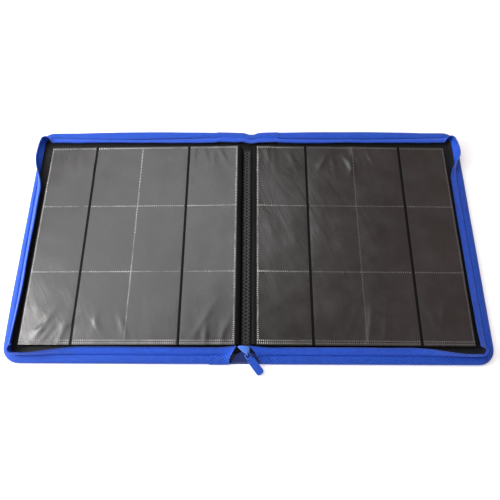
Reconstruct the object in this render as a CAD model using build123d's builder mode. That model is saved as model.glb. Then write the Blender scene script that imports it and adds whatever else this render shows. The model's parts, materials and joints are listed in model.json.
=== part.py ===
from build123d import *
import os
from math import cos, degrees, atan2, radians, sin

os.makedirs("parts", exist_ok=True)

# Zip-round card binder lying open. Origin: underside of the spine, at its middle.
# +X runs to the back cover's outer edge, +Y to the far edge, +Z up. Millimetres.

# Overall
open_half = 316.0  # spine middle to a cover's outer edge
cover_depth = 346.0  # near edge to far edge
corner_radius = 22.0
spine_width = 37.0
fold_x = spine_width / 2  # the fold lines beside the spine
fold_z = 1.5
closed_half = fold_x + fold_z  # half the thickness of the closed binder

# Cover layers
skin_thickness = 0.8
board_thickness = 2.0
lining_thickness = 0.4
lining_top = skin_thickness + board_thickness + lining_thickness
fold_gap = 2.2  # a cover starts this far outside its fold line
spine_gap = 0.4  # the spine stops this far inside it
board_inset = 13.5
wall_height = 6.6  # padded side wall, sloping in from the edge
wall_run = 10.0
wall_plan = 2.2  # thickness of the sloped wall, measured level

# Zip tape and teeth
crease_inset = 10.6  # the tape is sewn on along this line
crease_z = 7.4
tape_thickness = 1.0
tape_width = 9.7
coil_radius = 1.0
coil_centre = closed_half - 0.4 - coil_radius - crease_z  # from the crease
corner_leg = 12.0  # straight tape that stays upright beside a corner
run_gap = 0.6
fold_clear = 28.0  # tape runs start this far outside the fold line
near_lean = 48.0  # how far each run stands up from level, in degrees
far_lean = 24.0
front_lean = 45.0
back_lean = 26.0

# Leaves
leaf_count = 10
leaf_depth = 292.0
leaf_middle_y = -5.0
leaf_inner_x = 12.5
leaf_outer_x = 291.0
leaf_thickness = 0.54
lowest_leaf_z = 3.6
inner_pitch = 1.46  # the leaves fan out towards the binding strip
outer_pitch = 0.86
backing_thickness = 0.3
film_thickness = 0.12
column_width = 68.5
pocket_gap = 3.5  # bare backing between two strips of film
film_margin = 1.2

# Binding strip and spine ends
strip_width = 18.0
strip_height = 1.8
stud_radius = 1.5
stud_height = 0.9
stud_pitch = 5.0
gusset_half = 11.5
gusset_near_y = (-161.5, -152.0)
gusset_far_y = (151.5, 166.0)
gusset_near_height = 12.0
gusset_far_height = 7.0

# Slider and pull
slider_at = (-1.0, -158.0, 12.6)
slider_turn = 38.0  # turned towards the back cover, in degrees
slider_width = 11.0
slider_height = 14.0
plate_thickness = 1.4
plate_spread = 3.0
bridge_width = 3.0
bridge_height = 9.0
bridge_reach = 4.0
bridge_wall = 1.4
wire_radius = 0.7
link_width = 6.4  # between the middles of its side wires
link_length = 7.0
link_low = 2.0  # the link hangs this far under the middle of the bridge
pull_drop = 15.0  # how steeply the pull hangs, in degrees below level
tab_length = 24.0
tab_width = 10.0
tab_thickness = 2.2
head_length = 2.2  # from the link's far bar back to the tab's rounded head
bar_clearance = 0.08


def save(piece, name):
    piece.label = name
    export_step(piece, f"parts/{name}.step")


def cover_sketch(side, inset, first_x):
    """Outline of a cover from first_x outwards, its two outer corners rounded."""
    width = open_half - inset - first_x
    with BuildSketch(mode=Mode.PRIVATE) as outline:
        with Locations((side * (first_x + width / 2), 0)):
            Rectangle(width, cover_depth - 2 * inset)
        rim = outline.vertices().sort_by(Axis.X)
        fillet(rim[:2] if side < 0 else rim[-2:], max(corner_radius - inset, 1.0))
    return outline.sketch


def flat_sheet(side, inset, low, thickness):
    with BuildPart() as sheet:
        with BuildSketch(Plane.XY.offset(low)):
            add(cover_sketch(side, inset, fold_x + fold_gap))
        extrude(amount=thickness)
    return sheet.part


def cover_skin(side):
    """Fabric sheet and the padded side wall, a shallow tray open at the spine."""
    slope = degrees(atan2(wall_run, wall_height))
    floor_inset = wall_plan + wall_run * skin_thickness / wall_height
    with BuildPart() as skin:
        with BuildSketch():
            add(cover_sketch(side, 0, 0))
        extrude(amount=wall_height, taper=slope)
        with BuildSketch(Plane.XY.offset(skin_thickness)):
            add(cover_sketch(side, floor_inset, -fold_x))
        extrude(amount=wall_height, taper=slope, mode=Mode.SUBTRACT)
        with BuildSketch():
            Rectangle(2 * (fold_x + fold_gap), 2 * cover_depth)
        extrude(amount=2 * wall_height, mode=Mode.SUBTRACT)
    return skin.part


def run_plane(kind, side):
    """Plane at the middle of a tape run: x along the run, y into the cover, z up."""
    edge_x = side * (open_half - crease_inset)
    edge_y = cover_depth / 2 - crease_inset
    first = fold_x + fold_clear
    last = open_half - corner_radius - corner_leg - run_gap
    middle = side * (first + last) / 2
    if kind == "near":
        return Plane(origin=(middle, -edge_y, crease_z), x_dir=(1, 0, 0), z_dir=(0, 0, 1)), last - first
    if kind == "far":
        return Plane(origin=(middle, edge_y, crease_z), x_dir=(-1, 0, 0), z_dir=(0, 0, 1)), last - first
    length = cover_depth - 2 * (corner_radius + corner_leg + run_gap)
    return Plane(origin=(edge_x, 0, crease_z), x_dir=(0, side, 0), z_dir=(0, 0, 1)), length


def tape_run(kind, side, lean):
    """A straight run of tape, round at its root so that it turns on the crease."""
    base, length = run_plane(kind, side)
    end = Plane(origin=base.origin - base.x_dir * (length / 2), x_dir=base.y_dir, z_dir=base.x_dir)
    across = cos(radians(lean))
    up = sin(radians(lean))
    with BuildPart() as tape:
        with BuildSketch(end):
            with Locations((tape_width / 2 * across, tape_width / 2 * up)):
                SlotCenterToCenter(tape_width, tape_thickness, rotation=lean)
        extrude(amount=length)
    with BuildPart() as coil:
        with BuildSketch(end):
            with Locations((coil_centre * across, coil_centre * up)):
                Circle(coil_radius)
        extrude(amount=length)
    return tape.part, coil.part


def corner_path(side, end):
    """Middle line of the upright tape round an outer corner, with its straight legs."""
    x_leg = open_half - corner_radius - corner_leg
    x_arc = open_half - corner_radius
    x_edge = open_half - crease_inset
    y_leg = cover_depth / 2 - corner_radius - corner_leg
    y_arc = cover_depth / 2 - corner_radius
    y_edge = cover_depth / 2 - crease_inset
    bend = (x_edge - x_arc) * cos(radians(45))
    Line((side * x_leg, end * y_edge), (side * x_arc, end * y_edge))
    ThreePointArc(
        (side * x_arc, end * y_edge),
        (side * (x_arc + bend), end * (y_arc + bend)),
        (side * x_edge, end * y_arc),
    )
    Line((side * x_edge, end * y_arc), (side * x_edge, end * y_leg))


def corner_tapes(side):
    height = tape_width + tape_thickness
    with BuildPart() as tapes:
        for end in (-1, 1):
            with BuildSketch(Plane.XY.offset(crease_z - tape_thickness / 2)):
                with BuildLine():
                    corner_path(side, end)
                trace(line_width=tape_thickness)
            extrude(amount=height)
    return tapes.part


def corner_coils(side):
    with BuildPart() as coils:
        for end in (-1, 1):
            with BuildLine(Plane.XY.offset(crease_z + coil_centre)) as path:
                corner_path(side, end)
            with BuildSketch(Plane(origin=path.line @ 0, z_dir=path.line % 0)):
                Circle(coil_radius)
            sweep(path=path.line)
    return coils.part


# Covers: front on the left, back on the right
for side, cover, outer_lean in ((-1, "front", front_lean), (1, "back", back_lean)):
    save(cover_skin(side), f"{cover}_skin")
    save(flat_sheet(side, board_inset, skin_thickness, board_thickness), f"{cover}_board")
    save(
        flat_sheet(side, board_inset - 1, skin_thickness + board_thickness, lining_thickness),
        f"{cover}_lining",
    )
    for kind, lean in (("near", near_lean), ("far", far_lean), ("outer", outer_lean)):
        tape, coil = tape_run(kind, side, lean)
        save(tape, f"{cover}_tape_{kind}")
        save(coil, f"{cover}_coil_{kind}")
    save(corner_tapes(side), f"{cover}_tape_corners")
    save(corner_coils(side), f"{cover}_coil_corners")


# Spine
def spine_sheet(low, thickness, end_inset):
    with BuildPart() as sheet:
        with BuildSketch(Plane.XY.offset(low)):
            Rectangle(2 * (fold_x - spine_gap), cover_depth - 2 * end_inset)
        extrude(amount=thickness)
    return sheet.part


save(spine_sheet(0, skin_thickness, 0), "spine_skin")
save(spine_sheet(skin_thickness, board_thickness, 2), "spine_board")
save(spine_sheet(skin_thickness + board_thickness, lining_thickness, 1), "spine_lining")

with BuildPart() as binding_strip:
    with BuildSketch(Plane.XY.offset(lining_top)):
        with Locations((0, leaf_middle_y)):
            RectangleRounded(strip_width, leaf_depth, 3)
    extrude(amount=strip_height)
    stud_rows = int(leaf_depth / stud_pitch) - 1
    with BuildSketch(Plane.XY.offset(lining_top + strip_height)):
        with Locations((0, leaf_middle_y)):
            with GridLocations(strip_width / 2.5, stud_pitch, 2, stud_rows):
                Circle(stud_radius)
    extrude(amount=stud_height)
save(binding_strip.part, "binding_strip")


def gusset(y_range, height):
    """Fabric folded up at one end of the spine: a floor and two leaning legs."""
    low, high = y_range
    foot = gusset_half
    head = gusset_half - 2.0
    wall = 1.0
    with BuildPart() as fold:
        with BuildSketch(Plane(origin=(0, high, lining_top), x_dir=(1, 0, 0), z_dir=(0, -1, 0))):
            with BuildLine():
                Polyline(
                    (-foot, 0), (foot, 0), (head, height), (head - wall, height), (foot - wall, wall),
                    (wall - foot, wall), (wall - head, height), (-head, height), (-foot, 0),
                )
            make_face()
        extrude(amount=high - low)
    return fold.part


def stop(y, width):
    with BuildPart() as block:
        with BuildSketch(Plane.XY.offset(lining_top + 1.0)):
            with Locations((slider_at[0], y)):
                RectangleRounded(width, 4.0, 1.0)
        extrude(amount=1.2)
        fillet(block.faces().sort_by(Axis.Z)[-1].edges(), 0.4)
    return block.part


save(gusset(gusset_near_y, gusset_near_height), "spine_gusset_near")
save(gusset(gusset_far_y, gusset_far_height), "spine_gusset_far")
save(stop(slider_at[1], 6.0), "zip_stop_near")
save(stop(sum(gusset_far_y) / 2, 8.0), "zip_stop_far")

# Slider: two plates on a wedge, with a bridge on its outer face
turn = radians(slider_turn)
slider_plane = Plane(
    origin=slider_at, x_dir=(cos(turn), sin(turn), 0), z_dir=(sin(turn), -cos(turn), 0)
)
plate_face = plate_spread / 2 + plate_thickness


def slider_outline():
    half = slider_width / 2
    top = slider_height / 2
    with BuildSketch(mode=Mode.PRIVATE) as outline:
        with BuildLine():
            Polyline(
                (-half, top), (half, top), (half, 0),
                (half - 1.6, -top), (1.6 - half, -top), (-half, 0), close=True,
            )
        make_face()
        fillet(outline.vertices(), 1.2)
    return outline.sketch


with BuildPart() as slider_body:
    for low in (-plate_face, plate_spread / 2):
        with BuildSketch(slider_plane.offset(low)):
            add(slider_outline())
        extrude(amount=plate_thickness)
    with BuildSketch(slider_plane.offset(-plate_spread / 2)):
        with Locations((0, slider_height / 2 - 3.2)):
            Rectangle(2.4, 5.2)
    extrude(amount=plate_spread)
    with BuildSketch(slider_plane.offset(plate_face)):
        Rectangle(bridge_width, bridge_height)
    extrude(amount=bridge_reach)
    with BuildSketch(slider_plane.offset(plate_face)):
        Rectangle(bridge_width + 1, bridge_height - 2 * bridge_wall)
    extrude(amount=bridge_reach - bridge_wall, mode=Mode.SUBTRACT)
save(slider_body.part, "slider_body")

# Pull: a wire link through the bridge, and the tab moulded round the link's far bar
link_pivot = slider_plane.from_local_coords(
    Vector(0, -link_low, plate_face + (bridge_reach - bridge_wall) / 2)
)
drop = radians(pull_drop)
pull_out = slider_plane.z_dir * cos(drop) - slider_plane.y_dir * sin(drop)
pull_plane = Plane(
    origin=link_pivot, x_dir=slider_plane.x_dir, z_dir=slider_plane.x_dir.cross(pull_out)
)
half_link = link_width / 2
reach = (pull_plane.to_local_coords(link_pivot + pull_out * link_length)).Y

with BuildPart() as pull_link:
    with BuildLine(pull_plane) as loop:
        FilletPolyline(
            (-half_link, 0), (half_link, 0), (half_link, reach), (-half_link, reach),
            radius=1.0, close=True,
        )
    with BuildSketch(Plane(origin=loop.line @ 0, z_dir=loop.line % 0)):
        Circle(wire_radius)
    sweep(path=loop.line)
save(pull_link.part, "pull_link")
tab_pivot = link_pivot + pull_out * link_length
print("pull hinges", link_pivot, tab_pivot, "along", slider_plane.x_dir)

tab_plane = Plane(origin=tab_pivot, x_dir=slider_plane.x_dir, z_dir=pull_plane.z_dir)
tab_way = 1 if tab_plane.y_dir.dot(pull_out) > 0 else -1

with BuildPart() as pull_tab:
    with BuildSketch(tab_plane.offset(-tab_thickness / 2)):
        with Locations((0, tab_way * (tab_length - head_length) / 2)):
            RectangleRounded(tab_width, tab_length + head_length, 3.2)
    extrude(amount=tab_thickness)
    fillet(pull_tab.faces().filter_by(Axis(tab_plane.origin, tab_plane.z_dir)).edges(), 0.6)
    with BuildSketch(tab_plane.offset(-tab_thickness)):
        with Locations((-half_link, -tab_way * head_length), (half_link, -tab_way * head_length)):
            Rectangle(3.4 * wire_radius, 2 * head_length + 3)
    extrude(amount=2 * tab_thickness, mode=Mode.SUBTRACT)
    with BuildSketch(Plane(origin=tab_plane.origin, z_dir=tab_plane.x_dir)):
        Circle(wire_radius + bar_clearance)
    extrude(amount=tab_width, both=True, mode=Mode.SUBTRACT)
save(pull_tab.part, "pull_tab")


# Leaves: each is a thin sheet from the binding strip out to its free edge
def leaf_slab(side, number, low, thickness, near_edge, far_edge):
    """A slab of one leaf, between two distances from the leaf's free edge."""
    length = leaf_outer_x - leaf_inner_x
    inner_z = lowest_leaf_z + (leaf_count - number) * inner_pitch + low
    outer_z = lowest_leaf_z + (leaf_count - number) * outer_pitch + low

    def corner(distance, lift):
        height = outer_z + (inner_z - outer_z) * distance / length + lift
        return (side * (leaf_outer_x - distance), height)

    far_y = leaf_middle_y + leaf_depth / 2
    with BuildPart() as slab:
        with BuildSketch(Plane(origin=(0, far_y, 0), x_dir=(1, 0, 0), z_dir=(0, -1, 0))):
            with BuildLine():
                Polyline(
                    corner(near_edge, 0), corner(far_edge, 0),
                    corner(far_edge, thickness), corner(near_edge, thickness), close=True,
                )
            make_face()
        extrude(amount=leaf_depth)
    return slab.part


leaf_length = leaf_outer_x - leaf_inner_x
film_strips = (
    ("outer", film_margin, column_width - pocket_gap / 2),
    ("middle", column_width + pocket_gap / 2, 3 * column_width - pocket_gap / 2),
    ("inner", 3 * column_width + pocket_gap / 2, leaf_length - film_margin),
)
for side, name in ((-1, "left"), (1, "right")):
    save(
        leaf_slab(side, 1, film_thickness, backing_thickness, 0, leaf_length),
        f"{name}_leaf_01_backing",
    )
    for place, first, last in film_strips:
        with BuildPart() as films:
            add(leaf_slab(side, 1, 0, film_thickness, first, last))
            add(leaf_slab(side, 1, film_thickness + backing_thickness, film_thickness, first, last))
        save(films.part, f"{name}_leaf_01_film_{place}")
    for number in range(2, leaf_count + 1):
        save(
            leaf_slab(side, number, 0, leaf_thickness, 0, leaf_length),
            f"{name}_leaf_{number:02d}",
        )
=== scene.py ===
import bmesh
import bpy
import json
import math
import numpy as np
from mathutils import Matrix, Vector


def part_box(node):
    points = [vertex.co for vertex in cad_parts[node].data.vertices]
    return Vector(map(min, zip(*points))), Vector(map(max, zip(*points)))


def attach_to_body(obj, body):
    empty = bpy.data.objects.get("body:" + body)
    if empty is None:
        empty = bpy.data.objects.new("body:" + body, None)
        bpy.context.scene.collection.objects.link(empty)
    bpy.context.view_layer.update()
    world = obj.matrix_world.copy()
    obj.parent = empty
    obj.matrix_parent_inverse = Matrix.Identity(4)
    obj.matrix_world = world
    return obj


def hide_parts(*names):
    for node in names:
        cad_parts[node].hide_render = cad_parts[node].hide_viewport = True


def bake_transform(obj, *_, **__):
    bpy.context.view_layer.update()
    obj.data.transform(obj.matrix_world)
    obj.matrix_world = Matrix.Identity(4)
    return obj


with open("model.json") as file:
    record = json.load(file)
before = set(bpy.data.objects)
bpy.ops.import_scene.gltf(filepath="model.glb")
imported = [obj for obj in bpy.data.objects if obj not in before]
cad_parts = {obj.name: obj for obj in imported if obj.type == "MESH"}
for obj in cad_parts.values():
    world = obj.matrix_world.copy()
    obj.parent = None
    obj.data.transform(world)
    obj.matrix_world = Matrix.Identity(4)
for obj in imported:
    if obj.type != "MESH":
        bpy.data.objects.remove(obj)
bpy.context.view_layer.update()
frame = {"nodes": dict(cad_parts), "record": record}
mm = 0.001
print("frame loaded")

joints = {joint["name"]: joint for joint in frame["record"]["behaviour"]["joints"]}


def jointPlace(name):
    return np.array(joints[name]["pos_m"]) / mm


def boxOf(node):  # lowest and highest corner in millimetres
    low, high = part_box(node)
    return np.array(low) / mm, np.array(high) / mm


# What the frame says about the covers, all in millimetres
halfWidth, halfDepth = boxOf("back_skin")[1][:2]
creaseZ = jointPlace("back_near_zip_rise")[2]
creaseInset = halfDepth + jointPlace("back_near_zip_rise")[1]
foldX = jointPlace("spine_fold")[0]
runStart = boxOf("back_tape_near")[0][0]  # where the hinged tape runs begin
cornerX = boxOf("back_tape_near")[1][0] + 0.6  # and where the corners take over
cornerY = boxOf("back_tape_outer")[1][1] + 0.6
liningTop = boxOf("back_lining")[1][2]
rim = {"cornerRadius": 22.0, "cloth": 0.8, "step": 3.0}
sides = {"front": -1, "back": 1}
rng = np.random.default_rng(7)


def leanOf(run):  # how far a hinged run stands up from level at rest
    return 90 - joints[run + "_zip_rise"]["range_deg"][1]


# Camera and light

camera = {"place": (12, -251, 610), "pitch": 69.0, "yaw": -1.77, "roll": -1.55, "lens": 33.84}


def makeCamera():
    pitch, yaw, roll = (math.radians(camera[key]) for key in ("pitch", "yaw", "roll"))
    forward = Vector((math.sin(yaw) * math.cos(pitch), math.cos(yaw) * math.cos(pitch), -math.sin(pitch)))
    level = Vector((math.cos(yaw), -math.sin(yaw), 0))
    upward = level.cross(forward)
    right = level * math.cos(roll) + upward * math.sin(roll)
    top = upward * math.cos(roll) - level * math.sin(roll)
    data = bpy.data.cameras.new("camera")
    data.lens, data.sensor_width = camera["lens"], 36
    data.clip_start = 0.01
    eye = bpy.data.objects.new("camera", data)
    turn = Matrix((right, top, -forward)).transposed().to_4x4()
    eye.matrix_world = Matrix.Translation(Vector(camera["place"]) * mm) @ turn
    bpy.context.scene.collection.objects.link(eye)
    bpy.context.scene.camera = eye


def makeLight(name, place, target, size, power, colour):
    data = bpy.data.lights.new(name, "AREA")
    data.shape, data.size, data.size_y = "RECTANGLE", size[0], size[1]
    data.energy, data.color = power, colour
    lamp = bpy.data.objects.new(name, data)
    lamp.location = place
    lamp.rotation_euler = (Vector(target) - Vector(place)).to_track_quat("-Z", "Y").to_euler()
    bpy.context.scene.collection.objects.link(lamp)


makeCamera()
bpy.context.scene.view_settings.view_transform = "Standard"
lights = {
    "window": {"place": (-0.54, 0.45, 1.10), "target": (-0.3, 0.22, 0.0), "size": (1.28, 0.98),
               "power": 10.0, "colour": (0.98, 0.99, 1.0)},
    "sideLight": {"place": (-0.95, -0.10, 0.46), "target": (-0.25, 0.0, 0.0), "size": (0.35, 0.8),
                  "power": 12.5, "colour": (1.0, 0.99, 0.98)},
}
for name, light in lights.items():
    makeLight(name, **light)

# Materials: a wire is one output socket, so sums on it read as plain Python


class Wire:
    def __init__(self, shop, socket):
        self.shop, self.socket = shop, socket

    def maths(self, operation, other):
        return self.shop.add("ShaderNodeMath", {"operation": operation}, self, other)

    def __add__(self, other):
        return self.maths("ADD", other)

    def __sub__(self, other):
        return self.maths("SUBTRACT", other)

    def __mul__(self, other):
        return self.maths("MULTIPLY", other)


class Shop:  # the nodes of one material, or of the surroundings
    def __init__(self, holder):
        holder.use_nodes = True
        self.tree = holder.node_tree
        self.tree.nodes.clear()

    def add(self, kind, settings=None, *values, out=0, **named):
        node = self.tree.nodes.new(kind)
        for key, value in (settings or {}).items():
            if key == "stops":
                ramp = node.color_ramp
                while len(ramp.elements) < len(value):
                    ramp.elements.new(0.5)
                for element, (place, colour) in zip(ramp.elements, value):
                    element.position, element.color = place, (*colour, 1)
            else:
                setattr(node, key, value)
        for key, value in [*enumerate(values), *named.items()]:
            socket = node.inputs[key if isinstance(key, int) else key.replace("_", " ")]
            if isinstance(value, Wire):
                self.tree.links.new(value.socket, socket)
            else:
                socket.default_value = value
        return Wire(self, node.outputs[out]) if node.outputs else None

    def mix(self, factor, first, second):  # from one plain colour to another
        mixed = self.add("ShaderNodeMix", {"data_type": "RGBA"}, factor, out=2)
        colourSockets = mixed.socket.node.inputs[6:8]
        for socket, colour in zip(colourSockets, (first, second)):
            socket.default_value = (*colour, 1)
        return mixed

    def place(self):  # where a point lies along and across its own cloth, in millimetres
        return self.add("ShaderNodeAttribute", {"attribute_name": "clothPlace"}, out="Vector")

    def solidPlace(self):  # the same for carried-over solids, which have no cloth of their own
        node = self.add("ShaderNodeTexCoord", {}, out="Object")
        return self.add("ShaderNodeVectorMath", {"operation": "SCALE"}, node, Scale=1000.0)

    def split(self, vector):
        node = self.add("ShaderNodeSeparateXYZ", {}, vector).socket.node
        return [Wire(self, output) for output in node.outputs]

    def noise(self, place, scale, detail, roughness, **more):
        return self.add("ShaderNodeTexNoise", {}, Vector=place, Scale=scale, Detail=detail,
                        Roughness=roughness, **more)

    def remap(self, value, low, high, newLow=0.0, newHigh=1.0):
        return self.add("ShaderNodeMapRange", {}, value, low, high, newLow, newHigh)

    def bump(self, height, strength, distance):
        return self.add("ShaderNodeBump", {}, Height=height, Strength=strength, Distance=distance)

    def finish(self, **inputs):
        self.add("ShaderNodeOutputMaterial", {}, self.add("ShaderNodeBsdfPrincipled", {}, **inputs))


def weave(shop, across, along, pitch):  # plain weave: threads pass over and under each other
    warp = shop.add("ShaderNodeMath", {"operation": "SINE"}, across * (math.tau / pitch))
    weft = shop.add("ShaderNodeMath", {"operation": "SINE"}, along * (math.tau / pitch))
    return warp * weft


def wovenCloth(shop, look):
    place = shop.place()
    along, across, _ = shop.split(place)
    threads = weave(shop, across, along, look["pitch"])
    coarse = weave(shop, across + along * 0.25, along - across * 0.2, look["figure"])
    blotch = shop.noise(place, 0.16, 3.0, 0.6)
    fuzz = shop.noise(place, 2.2, 2.0, 0.7)
    shade = shop.remap(coarse * look["figureWeight"] + blotch * 1.2 + fuzz * 0.5, 0.3, 1.4)
    colour = shop.mix(shade, look["dark"], look["light"])
    height = threads * 0.45 + coarse * look["figureWeight"] + fuzz * 0.5
    normal = shop.bump(height, look["bump"], 0.0004)
    roughness = shop.remap(fuzz, 0.2, 0.8, look["rough"] - 0.08, look["rough"] + 0.08)
    shop.finish(Base_Color=colour, Roughness=roughness, Normal=normal,
                Sheen_Weight=look["sheen"], Sheen_Roughness=0.45, Specular_IOR_Level=0.36)


cloths = {
    "coverFabric": {"pitch": 1.1, "figure": 4.2, "figureWeight": 1.0, "dark": (0.002, 0.024, 0.24),
                    "light": (0.012, 0.125, 0.82), "bump": 0.70, "rough": 0.62, "sheen": 0.04},
    "zipTape": {"pitch": 0.8, "figure": 2.4, "figureWeight": 0.10, "dark": (0.006, 0.054, 0.46),
                "light": (0.014, 0.118, 0.80), "bump": 0.35, "rough": 0.52, "sheen": 0.05},
    "liningCloth": {"pitch": 0.7, "figure": 5.0, "figureWeight": 0.05, "dark": (0.006, 0.006, 0.007),
                    "light": (0.013, 0.013, 0.014), "bump": 0.30, "rough": 0.75, "sheen": 0.02},
    # the cover fabric painted much darker for the hollow under the zip's near end: painted shade
    "innerGusset": {"pitch": 0.9, "figure": 3.0, "figureWeight": 0.10, "dark": (0.004, 0.012, 0.09),
                    "light": (0.010, 0.032, 0.22), "bump": 0.35, "rough": 0.70, "sheen": 0.02},
}


def mouldedPart(shop, look):
    place = shop.solidPlace()
    grain = shop.noise(place, look["grain"], 3.0, 0.6)
    wear = shop.noise(place, 0.35, 2.0, 0.5)
    colour = shop.mix(shop.remap(wear * 0.7 + grain * 0.3, 0.3, 0.7), look["dark"], look["light"])
    normal = shop.bump(grain, look["bump"], 0.0002)
    roughness = shop.remap(wear, 0.3, 0.7, look["rough"] - 0.06, look["rough"] + 0.08)
    shop.finish(Base_Color=colour, Roughness=roughness, Normal=normal, Coat_Weight=look["coat"])


mouldings = {
    "sliderEnamel": {"grain": 3.0, "dark": (0.05, 0.17, 0.72), "light": (0.10, 0.27, 0.88),
                     "bump": 0.15, "rough": 0.30, "coat": 0.4},
    "linkEnamel": {"grain": 3.0, "dark": (0.04, 0.14, 0.62), "light": (0.08, 0.22, 0.80),
                   "bump": 0.15, "rough": 0.34, "coat": 0.3},
    "pullRubber": {"grain": 2.4, "dark": (0.008, 0.070, 0.50), "light": (0.016, 0.105, 0.66),
                   "bump": 0.30, "rough": 0.52, "coat": 0.0},
    "coilNylon": {"grain": 2.0, "dark": (0.020, 0.070, 0.42), "light": (0.040, 0.125, 0.66),
                  "bump": 0.10, "rough": 0.42, "coat": 0.1},
    "threadBlue": {"grain": 5.0, "dark": (0.030, 0.095, 0.50), "light": (0.075, 0.20, 0.80),
                   "bump": 0.30, "rough": 0.55, "coat": 0.0},
    "bindingPlastic": {"grain": 1.5, "dark": (0.004, 0.004, 0.004), "light": (0.010, 0.010, 0.011),
                       "bump": 0.25, "rough": 0.60, "coat": 0.0},
    "bindingThread": {"grain": 2.5, "dark": (0.06, 0.058, 0.062), "light": (0.20, 0.195, 0.205),
                      "bump": 0.20, "rough": 0.35, "coat": 0.2},
    "stiffBoard": {"grain": 1.2, "dark": (0.10, 0.095, 0.09), "light": (0.16, 0.15, 0.14),
                   "bump": 0.40, "rough": 0.80, "coat": 0.0},
}


def filmPlastic(shop, look):  # clear pocket film seen over black: glossy, hazy, softly creased
    place = shop.place()
    along, across, _ = shop.split(place)
    drift = shop.noise(place, 0.012, 2.0, 0.5)
    haze = shop.noise(place, look["haze"], 4.0, 0.6)
    slant = shop.add("ShaderNodeCombineXYZ", {}, along * 0.9 + across * 0.5, across * 0.22 - along * 0.12)
    folds = shop.noise(slant, 0.045, 3.0, 0.55, Distortion=0.6)
    speck = shop.noise(place, 1.6, 2.0, 0.6)
    shade = shop.remap(drift * 0.6 + haze * 0.5, 0.40, 0.75)
    # painted highlight: below 1, fade darkens the colour from x = 15 to 90 mm, so welds stay bright on the
    # left page and at the right page's gutter
    shade = shade * shop.remap(along, 15, 90, 1.0, look["fade"])
    colour = shop.mix(shade, look["dark"], look["light"])
    height = folds * look["folds"] + speck * look["speck"]
    normal = shop.bump(height, 1.0, 0.001)
    roughness = shop.remap(haze, 0.35, 0.65, look["rough"] - 0.05, look["rough"] + 0.06)
    shop.finish(Base_Color=colour, Roughness=roughness, Normal=normal, IOR=look["ior"])


films = {
    "pocketFilm": {"haze": 0.035, "dark": (0.014, 0.012, 0.012), "light": (0.028, 0.025, 0.025),
                   "folds": 0.62, "speck": 0.010, "rough": 0.29, "ior": 1.60, "fade": 1.0},
    "leafBacking": {"haze": 0.08, "dark": (0.003, 0.003, 0.003), "light": (0.006, 0.006, 0.006),
                    "folds": 0.25, "speck": 0.010, "rough": 0.55, "ior": 1.18, "fade": 1.0},
    # whitish weld dimples; their fade of 0.06 is a painted highlight that dims them across the right page
    "weldLine": {"haze": 0.07, "dark": (0.10, 0.098, 0.098), "light": (0.78, 0.78, 0.79),
                 "folds": 0.0, "speck": 0.020, "rough": 0.30, "ior": 1.50, "fade": 0.06},
}

materials = {}
for looks, paint in ((cloths, wovenCloth), (mouldings, mouldedPart), (films, filmPlastic)):
    for name, look in looks.items():
        materials[name] = bpy.data.materials.new(name)
        paint(Shop(materials[name]), look)
slotOf = {"coverFabric": "cover_fabric", "zipTape": "zip_tape", "liningCloth": "black_lining",
          "innerGusset": "cover_fabric", "coilNylon": "zip_coil", "threadBlue": "cover_fabric",
          "pocketFilm": "clear_film", "leafBacking": "leaf_backing", "weldLine": "clear_film",
          "bindingPlastic": "binding_plastic", "bindingThread": "binding_plastic",
          "sliderEnamel": "slider_metal"}
print("materials made")

# Meshes. Shapes are worked out in millimetres as numpy grids


def gridFaces(rows, cols, first=0):
    index = np.arange(rows * cols).reshape(rows, cols) + first
    return np.stack([index[:-1, :-1], index[:-1, 1:], index[1:, 1:], index[1:, :-1]], -1).reshape(-1, 4)


settled = {"farDraw": 3.4, "frontStart": 62.0, "backStart": 10.0, "drawEnd": 296.0, "soft": (2.5, 3.0),
           "farIn": 9.0, "farOut": (40.0, 15.0), "leftPull": 2.4, "nearPull": 3.0, "nearFrom": (60.0, 220.0),
           "leftIn": 12.0, "leftOut": (70.0, 50.0), "cornerPull": 1.4, "cornerY": -165.0, "cornerReach": 45.0,
           "edge": 7.5, "edgeStays": 0.95, "farEdge": 3.4, "leftEdge": 6.0, "leftShare": 0.6}


def settle(points):  # how the soft rim lies: drawn in along the far edge and on the front cover's side
    x, y, z = points[:, 0], points[:, 1], points[:, 2]
    fromFar, fromLeft, overEdge = halfDepth - y, halfWidth + x, z - settled["edge"]
    start = np.where(x < 0, settled["frontStart"], settled["backStart"])
    share = np.clip((np.abs(x) - start) / (settled["drawEnd"] - start), 0, 1)
    (softFrom, softOver), (farFrom, farOver) = settled["soft"], settled["farOut"]
    draw = settled["farDraw"] * np.sin(share * math.pi)**0.7 * gentle(fromFar / settled["farIn"])
    draw = draw * gentle((z - softFrom) / softOver) * gentle((farFrom - fromFar) / farOver)
    draw = draw * (1 - settled["edgeStays"] * gentle(overEdge / settled["farEdge"]))  # the coil hardly moves
    (nearFrom, nearOver), (leftFrom, leftOver) = settled["nearFrom"], settled["leftOut"]
    inner = settled["nearPull"] * np.clip((nearFrom - y) / nearOver, 0, 1)
    pull = settled["leftPull"] + (inner - settled["leftPull"]) * gentle(fromLeft / settled["leftIn"])
    pull = pull + settled["cornerPull"] * np.exp(-((y - settled["cornerY"]) / settled["cornerReach"])**2)
    stays = settled["leftShare"] * settled["edgeStays"] * gentle(overEdge / settled["leftEdge"])
    pull = pull * gentle((leftFrom - fromLeft) / leftOver) * (1 - stays)
    return np.stack([x + pull, y - draw, z], -1)


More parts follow.
